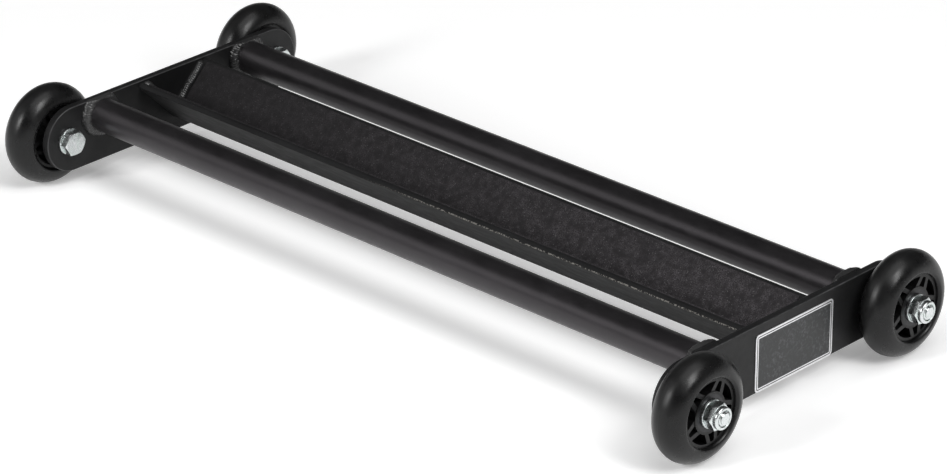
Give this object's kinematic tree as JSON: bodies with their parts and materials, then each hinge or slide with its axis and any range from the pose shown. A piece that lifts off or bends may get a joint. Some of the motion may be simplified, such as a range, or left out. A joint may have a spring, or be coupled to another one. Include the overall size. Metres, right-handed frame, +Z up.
{
  "type": "ab glider",
  "caption": "Low rolling exercise frame: end plates on spoked wheels, joined by two round rails and a gritted V-shaped foot trough.",
  "frame": {"origin": "on the floor under the middle of the frame, half way between the end plates and between the axles", "axes": "+X along the rails towards the end with the blank label plate, +Y along the rolling direction, +Z up"},
  "size_m": [0.68, 0.286, 0.076],
  "materials": {
    "frame_coat": "black powder coat, satin, fine texture",
    "rail_coat": "black powder coat, satin, fine texture",
    "trough_coat": "black powder coat, satin, fine texture",
    "weld_coat": "black powder coat over rippled weld",
    "grip_tape": "coarse grit, dead matt",
    "label": "satin film with a silver border",
    "tyre": "cast polyurethane, semi-gloss",
    "hub_plastic": "moulded nylon, satin",
    "bearing_steel": "ground steel",
    "cage_nylon": "moulded nylon",
    "spacer_steel": "turned, zinc plated",
    "zinc": "bright zinc plate",
    "nylon": "nylon insert"
  },
  "bodies": {
    "frame": {"end_plate_left": "frame_coat", "end_plate_right": "frame_coat", "front_rail": "rail_coat", "rear_rail": "rail_coat", "foot_trough": "trough_coat", "grip_tape_front": "grip_tape", "grip_tape_rear": "grip_tape", "rail_welds": "weld_coat", "trough_welds": "weld_coat", "blank_label_plate": "label", "axle_bolts": "zinc", "head_washers": "zinc", "nut_washers": "zinc", "lock_nuts": "zinc", "nut_nylon_rings": "nylon", "inner_rings_front_left": "bearing_steel", "hub_sleeve_front_left": "spacer_steel", "plate_spacer_front_left": "spacer_steel", "inner_rings_rear_left": "bearing_steel", "hub_sleeve_rear_left": "spacer_steel", "plate_spacer_rear_left": "spacer_steel", "inner_rings_front_right": "bearing_steel", "hub_sleeve_front_right": "spacer_steel", "plate_spacer_front_right": "spacer_steel", "inner_rings_rear_right": "bearing_steel", "hub_sleeve_rear_right": "spacer_steel", "plate_spacer_rear_right": "spacer_steel"},
    "wheel_front_left": {"tyre_front_left": "tyre", "hub_front_left": "hub_plastic", "outer_rings_front_left": "bearing_steel", "shields_front_left": "bearing_steel"},
    "ball_set_front_left": {"balls_front_left": "bearing_steel", "ball_cages_front_left": "cage_nylon"},
    "wheel_rear_left": {"tyre_rear_left": "tyre", "hub_rear_left": "hub_plastic", "outer_rings_rear_left": "bearing_steel", "shields_rear_left": "bearing_steel"},
    "ball_set_rear_left": {"balls_rear_left": "bearing_steel", "ball_cages_rear_left": "cage_nylon"},
    "wheel_front_right": {"tyre_front_right": "tyre", "hub_front_right": "hub_plastic", "outer_rings_front_right": "bearing_steel", "shields_front_right": "bearing_steel"},
    "ball_set_front_right": {"balls_front_right": "bearing_steel", "ball_cages_front_right": "cage_nylon"},
    "wheel_rear_right": {"tyre_rear_right": "tyre", "hub_rear_right": "hub_plastic", "outer_rings_rear_right": "bearing_steel", "shields_rear_right": "bearing_steel"},
    "ball_set_rear_right": {"balls_rear_right": "bearing_steel", "ball_cages_rear_right": "cage_nylon"}
  },
  "joints": [
    {"name": "wheel_spin_front_left", "type": "hinge", "parent": "frame", "child": "wheel_front_left", "pos_m": [-0.316, -0.105, 0.038], "axis": [1, 0, 0], "continuous": true},
    {"name": "wheel_spin_rear_left", "type": "hinge", "parent": "frame", "child": "wheel_rear_left", "pos_m": [-0.316, 0.105, 0.038], "axis": [1, 0, 0], "continuous": true},
    {"name": "wheel_spin_front_right", "type": "hinge", "parent": "frame", "child": "wheel_front_right", "pos_m": [0.316, -0.105, 0.038], "axis": [1, 0, 0], "continuous": true},
    {"name": "wheel_spin_rear_right", "type": "hinge", "parent": "frame", "child": "wheel_rear_right", "pos_m": [0.316, 0.105, 0.038], "axis": [1, 0, 0], "continuous": true},
    {"name": "ball_set_spin_front_left", "type": "hinge", "parent": "frame", "child": "ball_set_front_left", "pos_m": [-0.316, -0.105, 0.038], "axis": [1, 0, 0], "continuous": true},
    {"name": "ball_set_spin_rear_left", "type": "hinge", "parent": "frame", "child": "ball_set_rear_left", "pos_m": [-0.316, 0.105, 0.038], "axis": [1, 0, 0], "continuous": true},
    {"name": "ball_set_spin_front_right", "type": "hinge", "parent": "frame", "child": "ball_set_front_right", "pos_m": [0.316, -0.105, 0.038], "axis": [1, 0, 0], "continuous": true},
    {"name": "ball_set_spin_rear_right", "type": "hinge", "parent": "frame", "child": "ball_set_rear_right", "pos_m": [0.316, 0.105, 0.038], "axis": [1, 0, 0], "continuous": true}
  ],
  "couplings": [
    {"joint": "ball_set_spin_front_left", "follows": "wheel_spin_front_left", "ratio": 0.6322},
    {"joint": "ball_set_spin_rear_left", "follows": "wheel_spin_rear_left", "ratio": 0.6322},
    {"joint": "ball_set_spin_front_right", "follows": "wheel_spin_front_right", "ratio": 0.6322},
    {"joint": "ball_set_spin_rear_right", "follows": "wheel_spin_rear_right", "ratio": 0.6322}
  ]
}
